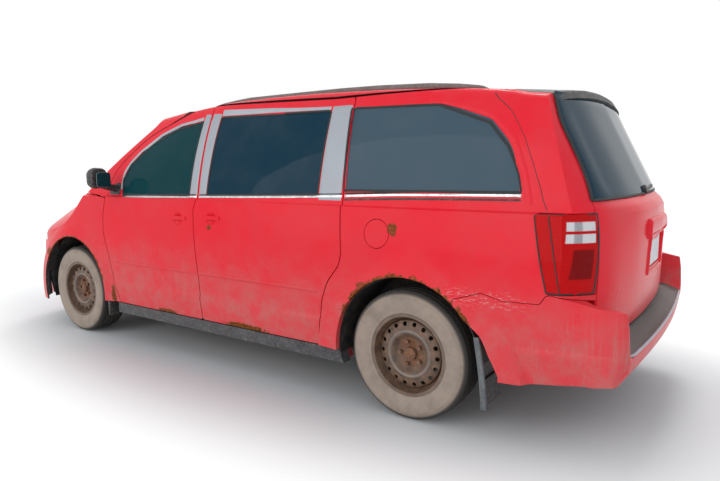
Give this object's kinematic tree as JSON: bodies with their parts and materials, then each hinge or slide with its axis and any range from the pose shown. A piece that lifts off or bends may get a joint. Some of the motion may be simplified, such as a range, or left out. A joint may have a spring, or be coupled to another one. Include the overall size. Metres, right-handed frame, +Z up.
{
  "type": "minivan",
  "caption": "Full-size five-door family minivan with sliding side doors, roof rack, liftgate and pressed steel wheels, weathered red paint",
  "frame": {"origin": "On the ground, at the middle of the overall length and width", "axes": "+X points to the front, +Y to the left side, +Z up"},
  "size_m": [5.1428, 2.2506, 1.7961],
  "materials": {
    "red_paint": "bright red gloss paint, dusty and pinkish low down, rust at the arch lips and door feet",
    "clear_glass": "light green tinted safety glass",
    "tinted_glass": "dark privacy glass",
    "black_plastic": "black grained plastic and rubber, weathered grey",
    "lamp_red": "red lamp lens with two clear bars",
    "lamp_clear": "clear lamp lens over a bright reflector",
    "structure_steel": "dull dark primer with road dirt and rust",
    "engine_metal": "cast grey metal",
    "tank_plastic": "black moulded tank",
    "roof_rail": "grey-black satin rack",
    "dash_plastic": "slate grey grained plastic",
    "seat_cloth": "grey woven seat cloth",
    "tyre_rubber": "black tread and dusty grey-brown sidewalls",
    "rusty_steel": "pressed steel wheel in worn black with brown rust"
  },
  "bodies": {
    "shell": {"floor_pan": "structure_steel", "side_frame_left": "structure_steel", "side_frame_right": "structure_steel", "front_frame": "structure_steel", "radiator": "engine_metal", "roof": "red_paint", "windscreen": "clear_glass", "cowl": "black_plastic", "fenders": "red_paint", "headlamps": "lamp_clear", "grille": "black_plastic", "front_bumper": "red_paint", "quarter_left": "red_paint", "quarter_right": "red_paint", "side_glass": "tinted_glass", "tail_lamps": "lamp_red", "rear_bumper": "red_paint", "step_pad": "black_plastic", "sliding_door_left": "red_paint", "sliding_door_right": "red_paint", "sill_cladding": "black_plastic", "front_liners": "black_plastic", "rear_liners": "black_plastic", "mud_flaps": "black_plastic", "engine": "engine_metal", "exhaust": "structure_steel", "fuel_tank": "tank_plastic", "front_axle": "structure_steel", "rear_axle": "structure_steel", "roof_rack": "roof_rail", "dashboard": "dash_plastic", "front_seats": "seat_cloth", "middle_seats": "seat_cloth", "rear_seat": "seat_cloth"},
    "hood": {"hood": "red_paint"},
    "front_door_left": {"front_door_left": "red_paint", "front_door_glass_left": "clear_glass", "mirror_left": "black_plastic"},
    "front_door_right": {"front_door_right": "red_paint", "front_door_glass_right": "clear_glass", "mirror_right": "black_plastic"},
    "liftgate": {"liftgate": "red_paint", "liftgate_glass": "tinted_glass", "spoiler": "black_plastic", "rear_wiper": "black_plastic"},
    "fuel_lid": {"fuel_lid": "red_paint"},
    "steering_wheel": {"steering_wheel": "black_plastic"},
    "knuckle_left": {"knuckle_left": "structure_steel"},
    "knuckle_right": {"knuckle_right": "structure_steel"},
    "wheel_front_left": {"tyre_front_left": "tyre_rubber", "wheel_front_left": "rusty_steel"},
    "wheel_front_right": {"tyre_front_right": "tyre_rubber", "wheel_front_right": "rusty_steel"},
    "wheel_rear_left": {"tyre_rear_left": "tyre_rubber", "wheel_rear_left": "rusty_steel"},
    "wheel_rear_right": {"tyre_rear_right": "tyre_rubber", "wheel_rear_right": "rusty_steel"}
  },
  "joints": [
    {"name": "front_left_door_hinge", "type": "hinge", "parent": "shell", "child": "front_door_left", "pos_m": [1.0455, 0.955, 0.7], "axis": [0, 0, -1], "range_deg": [0, 68]},
    {"name": "front_right_door_hinge", "type": "hinge", "parent": "shell", "child": "front_door_right", "pos_m": [1.0455, -0.955, 0.7], "axis": [0, 0, 1], "range_deg": [0, 68]},
    {"name": "liftgate_hinge", "type": "hinge", "parent": "shell", "child": "liftgate", "pos_m": [-1.8895, 0, 1.737], "axis": [0, 1, 0], "range_deg": [0, 85]},
    {"name": "hood_hinge", "type": "hinge", "parent": "shell", "child": "hood", "pos_m": [1.5375, 0, 1.166], "axis": [0, -1, 0], "range_deg": [0, 50]},
    {"name": "fuel_lid_hinge", "type": "hinge", "parent": "shell", "child": "fuel_lid", "pos_m": [-1.2285, 0.966, 0.983], "axis": [0, 0, -1], "range_deg": [0, 90]},
    {"name": "left_steering", "type": "hinge", "parent": "shell", "child": "knuckle_left", "pos_m": [1.6085, 0.745, 0.215], "axis": [0, -0.1896, 0.9819], "range_deg": [-32, 32]},
    {"name": "right_steering", "type": "hinge", "parent": "shell", "child": "knuckle_right", "pos_m": [1.6085, -0.745, 0.215], "axis": [0, 0.1896, 0.9819], "range_deg": [-32, 32]},
    {"name": "steering_column", "type": "hinge", "parent": "shell", "child": "steering_wheel", "pos_m": [0.8085, 0.375, 0.974], "axis": [-0.8988, 0, 0.4384], "range_deg": [-512, 512]},
    {"name": "front_left_wheel_spin", "type": "hinge", "parent": "knuckle_left", "child": "wheel_front_left", "pos_m": [1.6085, 0.823, 0.3495], "axis": [0, 1, 0], "continuous": true},
    {"name": "front_right_wheel_spin", "type": "hinge", "parent": "knuckle_right", "child": "wheel_front_right", "pos_m": [1.6085, -0.823, 0.3495], "axis": [0, 1, 0], "continuous": true},
    {"name": "rear_left_wheel_spin", "type": "hinge", "parent": "shell", "child": "wheel_rear_left", "pos_m": [-1.4695, 0.823, 0.3495], "axis": [0, 1, 0], "continuous": true},
    {"name": "rear_right_wheel_spin", "type": "hinge", "parent": "shell", "child": "wheel_rear_right", "pos_m": [-1.4695, -0.823, 0.3495], "axis": [0, 1, 0], "continuous": true}
  ],
  "couplings": [
    {"joint": "right_steering", "follows": "left_steering", "ratio": 1},
    {"joint": "steering_column", "follows": "left_steering", "ratio": 16}
  ]
}
